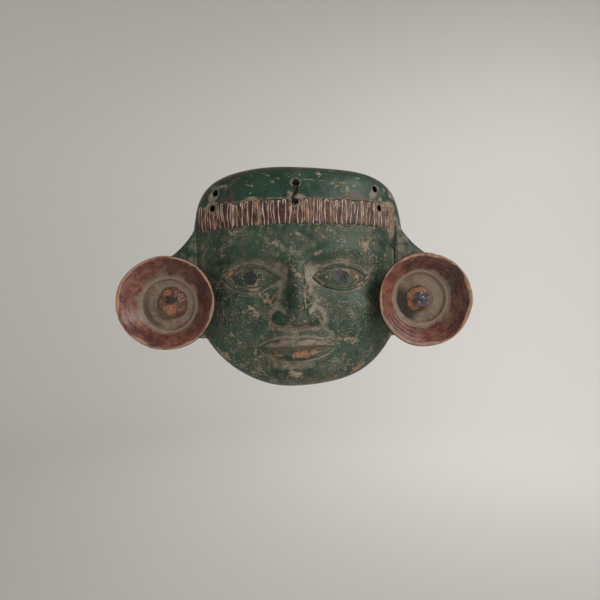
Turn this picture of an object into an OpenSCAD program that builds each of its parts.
// Wall-hung fired-clay mask with ear spools and a wire hanger.
// Millimetres, +Z up, the face looks towards -Y and the wall is on the +Y side.
// Everything is drawn in the mask's own frame: the wall plane at y = 0, the eye line at z = 0.
// hung() then moves it so that the origin is the seat of the nail in the wire's loop.

/* [Face shell] */
// Width of the face across the temples
face_w = 174; // [160:1:180]
// Height of the face from the flat top to the chin
face_h = 172; // [140:1:200]
// Depth of the face from the wall to the middle of the forehead
face_d = 47; // [40:1:60]
// Thickness of the clay
wall = 7; // [5:0.5:9]
// How square the top of the outline is
top_squareness = 4.4; // [4:0.1:6]
// How square the jaw of the outline is
jaw_squareness = 2.2; // [2:0.1:3]

/* [Hair band] */
// Height of the scored band
band_h = 19.5; // [12:0.5:24]
// Height of the band's lower edge above the eye line
band_z = 39.5; // [34:0.5:44]
// How far the band stands proud
band_t = 1.2; // [0.6:0.1:2.5]
// Number of scored lines across the band
score_count = 36; // [20:1:40]

/* [Face features] */
// Width of one eye
eye_w = 38; // [30:1:44]
// Distance from the middle of the face to the middle of an eye
eye_x = 35; // [30:1:40]
// How far the eyeball stands proud
eye_t = 2.4; // [1.5:0.1:4]
// Height of the nose above the forehead's depth
nose_t = 19; // [12:1:24]
// Width of the mouth
mouth_w = 56; // [48:1:64]
// Thickness of the lips
lip_t = 5; // [3:0.5:8]

/* [Ear spools] */
// Distance from the middle of the face to the axis of a spool
spool_x = 98.5; // [94:0.5:104]
// Height of the spool's axis above the eye line
spool_z = -18; // [-26:0.5:-10]
// Radius of the dish at its rim
dish_r = 36; // [30:0.5:40]
// Depth from the wall to the plane of the rim
rim_d = 44; // [40:0.5:50]
// Height of the dish from its foot to its rim
dish_h = 18; // [14:0.5:20]
// Thickness of the dish at the rim
rim_t = 3; // [2:0.5:4]
// Radius of the boss in the dish
boss_r = 9.5; // [7:0.5:12]

/* [Tie holes] */
// Radius of the upper hole that the wire passes through
upper_hole_r = 2.8; // [2.4:0.1:3.2]
// Radius of the lower hole that the wire passes through
lower_hole_r = 2.5; // [2.4:0.1:3]
// Radius of the four side holes
side_hole_r = 2.4; // [1.8:0.1:3]

/* [Hanging wire] */
// Radius of the wire
wire_r = 0.6; // [0.4:0.05:0.6]
// Radius of the loop that goes over the nail
loop_r = 6; // [5:0.5:8]

/* [Hidden] */
$fn = 96;

LEFT = -1;
RIGHT = 1;

green = "darkgreen";
maroon = "brown";
clay = "peru";

half_w = face_w / 2;
half_h = face_h / 2;
// the outline sits this much to the right of the nose, as on a hand-formed face
outline_x = 4;
outline_steps = 96;

// the front is a barrel whose upright axis stands behind the wall plane
axis_y = 75;
barrel_steps = 30;
barrel_h = half_h + 6;
top_fullness = 5;
chin_fullness = 3;

// depth of the front from the wall plane at height z, on the middle line
function fullness(z) = z > 0 ? top_fullness : chin_fullness;
function depth(z) = face_d * pow(1 - pow(abs(z) / barrel_h, fullness(z)), 1 / fullness(z));
// y of the front at x, z
function front_y(x, z) = axis_y - sqrt(pow(axis_y + depth(z), 2) - x * x);

function signed_pow(v, e) = sign(v) * pow(abs(v), e);
// closed outline of the face, inset by t; a deeper inset is squarer, which keeps the wall even
inset_squaring = 70;
function outline(t) = [for (i = [0:outline_steps - 1])
    let (a = 360 * i / outline_steps,
        squareness = sin(a) > 0 ? top_squareness : jaw_squareness,
        e = 2 / (squareness * (1 + t / inset_squaring)))
    [outline_x + (half_w - t) * signed_pow(cos(a), e), (half_h - t) * signed_pow(sin(a), e)]];

// points of a curve from a to c that leaves and arrives along the lines to b
function bend(a, b, c, steps = 8) = [for (i = [1:steps])
    let (u = i / steps)
    (1 - u) * (1 - u) * a + 2 * u * (1 - u) * b + u * u * c];

// moves the mask's own frame to the nail seat
hanger_y = -8;
twist_z = 63.2;
seat_z = twist_z + 2 * loop_r - wire_r;
module hung() {
    translate([0, -hanger_y, -seat_z]) children();
}

// extrudes a front-view outline from y = from to y = to
module facing(from, to) {
    translate([0, to, 0]) rotate([90, 0, 0]) linear_extrude(to - from) children();
}

// solid barrel whose surface is t outside the face's front
module barrel(t = 0) {
    middle = [for (i = [0:barrel_steps])
        let (z = -barrel_h + 2 * barrel_h * i / barrel_steps)
        [axis_y + depth(z) + t, z]];
    translate([0, axis_y, 0]) rotate_extrude()
        polygon(concat([[0, -barrel_h]], middle, [[0, barrel_h]]));
}

// solid block of the whole face: the barrel cut to the outline
block_d = 90;
module face_block() {
    intersection() {
        barrel(0);
        facing(-block_d, 0) polygon(outline(0));
    }
}

// a layer that follows the front, t thick, inside the front-view outline given
module on_front(t) {
    difference() {
        intersection() {
            facing(-block_d, -1) children();
            barrel(t);
            facing(-block_d, 0) polygon(outline(0));
        }
        barrel(0);
    }
}

// tie holes: [x, z] of each, on the front
centre_upper = [0.5, 71.5];
centre_lower = [-0.5, 56.5];
side_holes = [[-62.5, 67], [-64.5, 55], [64, 70], [67, 55]];

// bit of a drill that runs square into the front at height z and distance x
module drill(x, z, r) {
    turn = asin(x / (axis_y + depth(z)));
    translate([0, axis_y, z]) rotate([0, 0, turn]) rotate([90, 0, 0])
        cylinder(h = block_d + axis_y, r = r);
}

module tie_holes() {
    drill(centre_upper[0], centre_upper[1], upper_hole_r);
    drill(centre_lower[0], centre_lower[1], lower_hole_r);
    for (at = side_holes) drill(at[0], at[1], side_hole_r);
}

// moulded shell of the face, open at the back
module face_shell() {
    color(green) hung() difference() {
        face_block();
        intersection() {
            barrel(-wall);
            facing(-block_d, 1) polygon(outline(wall));
        }
        tie_holes();
    }
}

// rolled strip across the forehead, scored with upright lines
score_w = 1.2;
score_depth = 0.8;
score_angle = 79;
band_left = -79;
band_right = 86;
module hair_band() {
    color(maroon) hung() difference() {
        on_front(band_t) translate([band_left, band_z]) square([band_right - band_left, band_h]);
        for (i = [0:score_count - 1]) {
            turn = score_angle * (i / (score_count - 1) - 0.5);
            translate([0, axis_y, band_z + 1]) rotate([0, 0, turn])
                translate([-score_w / 2, -axis_y - face_d - band_t - 1, 0])
                    cube([score_w, score_depth + 1, band_h - 2]);
        }
        tie_holes();
    }
}

// nose: bridge, tip and two wings joined, cut off by the face's front
bridge_z = 14;
nose_base_z = -37;
nose_tip_r = 8;
wing_r = 6.5;
wing_x = 10.5;
module nose() {
    tip_z = nose_base_z + nose_tip_r + 1;
    color(green) hung() difference() {
        hull() {
            translate([0, front_y(0, bridge_z) + 2, bridge_z]) sphere(r = 4.5, $fn = 32);
            translate([0, -face_d - nose_t + nose_tip_r, tip_z]) sphere(r = nose_tip_r, $fn = 32);
            for (side = [LEFT, RIGHT])
                translate([side * wing_x, front_y(wing_x, nose_base_z) - 3, nose_base_z + wing_r])
                    sphere(r = wing_r, $fn = 32);
        }
        barrel(0);
    }
}

// lips: two bowed coils that meet at the mouth line
mouth_z = -54;
upper_lip_h = 9;
lower_lip_h = 10;
lip_gap = 0.6;
module lip_outline(rise) {
    polygon(concat([[mouth_w / 2, 0], [-mouth_w / 2, 0]],
        bend([-mouth_w / 2, 0], [-mouth_w / 5, 2 * rise], [0, rise]),
        bend([0, rise], [mouth_w / 5, 2 * rise], [mouth_w / 2, 0])));
}
module upper_lip() {
    color(green) hung()
        on_front(lip_t) translate([0, mouth_z + lip_gap]) lip_outline(upper_lip_h * 0.85);
}
module lower_lip() {
    color(green) hung()
        on_front(lip_t) translate([0, mouth_z - lip_gap]) lip_outline(-lower_lip_h * 0.85);
}

// almond of width w and height h: where two circles cross
module almond(w, h) {
    r = (w * w + h * h) / (4 * h);
    intersection() {
        translate([0, r - h / 2]) circle(r);
        translate([0, h / 2 - r]) circle(r);
    }
}
eye_h = 15;
rim_w = 3;
rim_proud = 1.6;
eye_fit = 0.4;
module eyeball(side) {
    color(green) hung() on_front(eye_t)
        translate([side * eye_x, 0]) almond(eye_w - 2 * eye_fit, eye_h - 2 * eye_fit);
}
module eye_rim(side) {
    color(green) hung() on_front(rim_proud) translate([side * eye_x, 0]) difference() {
        almond(eye_w + 3 * rim_w, eye_h + 2 * rim_w);
        almond(eye_w, eye_h);
    }
}

// ear lug: slab that spreads from the side of the face behind the dish
lug_back = -3;
lug_front = -15;
lug_edge = concat([[60, 46], [80, 46]],
    bend([80, 46], [88, 27], [104, 17]),
    bend([104, 17], [113, 8], [113, -8]),
    bend([113, -8], [113, -38], [92, -45]),
    bend([92, -45], [80, -49], [60, -47]));
module ear_lug(side) {
    color(green) hung() difference() {
        facing(lug_front, lug_back)
            translate([side < 0 ? 0 : outline_x, 0]) scale([side, 1]) polygon(lug_edge);
        facing(-block_d, 1) polygon(outline(0));
    }
}

// puts a turned part on a spool's axis, foot at y = -foot_d, growing towards the front
module on_spool(side, foot_d) {
    translate([side * spool_x, -foot_d, spool_z]) rotate([90, 0, 0]) children();
}

// stem: waisted post between the lug and the dish
stem_r = 13;
stem_waist = 11;
dish_foot_d = rim_d - dish_h;
module ear_stem(side) {
    h = dish_foot_d + lug_front;
    color(maroon) hung() on_spool(side, -lug_front) rotate_extrude()
        polygon(concat([[0, 0]], [[stem_r, 0]], bend([stem_r, 0], [stem_waist, h / 2], [stem_r, h]), [[0, h]]));
}

// dish: turned flare with a bare rim, stepping down into a flat-floored well
floor_t = 4.5;
well_r = 19;
well_edge_r = 21.5;
well_depth = 3;
foot_r = 14;
module ear_dish(side) {
    outside = bend([foot_r, 0], [well_edge_r + 1, 0.5], [dish_r, dish_h - rim_t]);
    lip = bend([dish_r, dish_h - rim_t], [dish_r + 0.4, dish_h], [dish_r - rim_t / 2, dish_h], 4);
    inside = bend([dish_r - rim_t / 2, dish_h], [dish_r - rim_t - 1, dish_h - 1],
        [well_edge_r, floor_t + well_depth]);
    step = bend([well_edge_r, floor_t + well_depth], [well_r + 0.5, floor_t + well_depth - 1],
        [well_r, floor_t], 4);
    color(maroon) hung() on_spool(side, dish_foot_d) rotate_extrude()
        polygon(concat([[0, 0], [foot_r, 0]], outside, lip, inside, step, [[0, floor_t]]));
}

// boss: low turned dome on the dish's floor
boss_h = 7.5;
module ear_boss(side) {
    color(clay) hung() on_spool(side, dish_foot_d + floor_t) rotate_extrude()
        polygon(concat([[0, 0], [boss_r, 0]], bend([boss_r, 0], [boss_r - 1, boss_h], [0, boss_h])));
}

// hanging wire: a stitch on the front, two legs through the centre holes, a twist behind them,
// a loop for the nail, and the tail wound round the twist
wire_sides = 8;
wire_clear = 0.4;
twist_front_y = -28;
twist_front_z = 59.3;
twist_back_x = 0.5;
twist_r = wire_r + 0.14;
twist_turns = 2.5;
twist_steps = 24;
wound_r = twist_r + 2 * wire_r + 0.05;
wound_turns = 5;
wound_steps = 8;
wound_from = 0.6;
wound_to = 0.94;
loop_steps = 20;
leg_back_y = -33;
leg_front_y = -43;
upper_leg = [0.3, 70];
lower_leg = [-1.8, 57];
// front view of the stitch, from the upper hole down to the lower one
stitch_plan = [[0.4, 69.6], [0.9, 68.3], [1.7, 66.4], [1.3, 64.4], [-0.4, 62.6],
    [-1.6, 60.8], [-2.1, 58.8], [-2.0, 57.4]];
// y of the wire where it lies over the clay or, lower down, over the band
function over_clay(at) = front_y(at[0], at[1]) - wire_clear - wire_r
    - (at[1] < band_z + band_h + 2.5 * wire_r ? band_t : 0);
stitch = [for (at = stitch_plan) [at[0], over_clay(at), at[1]]];
// point at distance r and angle a from the twist's axis, at share u of its way to the back
function by_twist(u, r, a) = [twist_back_x * u + r * cos(a), twist_front_y + (hanger_y - twist_front_y) * u,
    twist_front_z + (twist_z - twist_front_z) * u + r * sin(a)];
// one strand of the twist, from its front end to its back end; phase sets it beside the other
function strand(phase, steps = twist_steps) = [for (i = [0:steps])
    let (u = i / twist_steps) by_twist(u, twist_r, phase + 360 * twist_turns * u)];
function reversed(list) = [for (i = [len(list) - 1:-1:0]) list[i]];
// the tail, wound round the twist from its cut end back to the loop
wound_tail = [for (i = [0:wound_turns * wound_steps])
    let (u = i / (wound_turns * wound_steps))
    by_twist(wound_from + (wound_to - wound_from) * u, wound_r, 360 * wound_turns * (u - 1))];
// loop in a plane parallel to the wall, from its foot round over the nail and back to its foot
foot_angle = 24;
nail_loop = [for (i = [0:loop_steps])
    let (a = -90 + foot_angle + (360 - 2 * foot_angle) * i / loop_steps)
    [loop_r * cos(a), hanger_y, twist_z + loop_r + loop_r * sin(a)]];
wire_path = concat(
    wound_tail,
    nail_loop,
    reversed(strand(90)),
    [[0.1, -29.3, 62.4], [0.2, -30, 65.5], [upper_leg[0], -30.9, 68.8],
        [upper_leg[0], leg_back_y, upper_leg[1]], [upper_leg[0], leg_front_y, upper_leg[1]]],
    stitch,
    [[lower_leg[0], leg_front_y - 2, lower_leg[1]], [lower_leg[0], leg_back_y, lower_leg[1]],
        [-1.2, -30.4, 57.8]],
    strand(270, twist_steps - 2));

function unit(v) = v / norm(v);
function tangent(path, i) =
    unit(path[min(i + 1, len(path) - 1)] - path[max(i - 1, 0)]);
// a direction square to the path at each point, carried along it without twisting
function carried(path, i, before) =
    let (t = tangent(path, i), n = unit(before - (before * t) * t))
    i == len(path) - 1 ? [n] : concat([n], carried(path, i + 1, n));

// tube of radius r along a path
module tube(path, r) {
    normals = carried(path, 0, [1, 0.3, 0.2]);
    rings = [for (i = [0:len(path) - 1], k = [0:wire_sides - 1])
        let (n = normals[i], b = cross(tangent(path, i), n), a = 360 * k / wire_sides)
        path[i] + r * (cos(a) * n + sin(a) * b)];
    sides = [for (i = [0:len(path) - 2], k = [0:wire_sides - 1])
        let (a = i * wire_sides + k, b = i * wire_sides + (k + 1) % wire_sides)
        [b, a, a + wire_sides, b + wire_sides]];
    first_cap = [for (k = [0:wire_sides - 1]) k];
    last = (len(path) - 1) * wire_sides;
    last_cap = [for (k = [wire_sides - 1:-1:0]) last + k];
    polyhedron(rings, concat([first_cap], sides, [last_cap]));
}

module hanging_wire() {
    color("black") hung() tube(wire_path, wire_r);
}

face_shell();
hair_band();
nose();
upper_lip();
lower_lip();
eyeball(LEFT);  // eyeball_left
eyeball(RIGHT);  // eyeball_right
eye_rim(LEFT);  // eye_rim_left
eye_rim(RIGHT);  // eye_rim_right
ear_lug(LEFT);  // ear_lug_left
ear_lug(RIGHT);  // ear_lug_right
ear_stem(LEFT);  // ear_stem_left
ear_stem(RIGHT);  // ear_stem_right
ear_dish(LEFT);  // ear_dish_left
ear_dish(RIGHT);  // ear_dish_right
ear_boss(LEFT);  // ear_boss_left
ear_boss(RIGHT);  // ear_boss_right
hanging_wire();
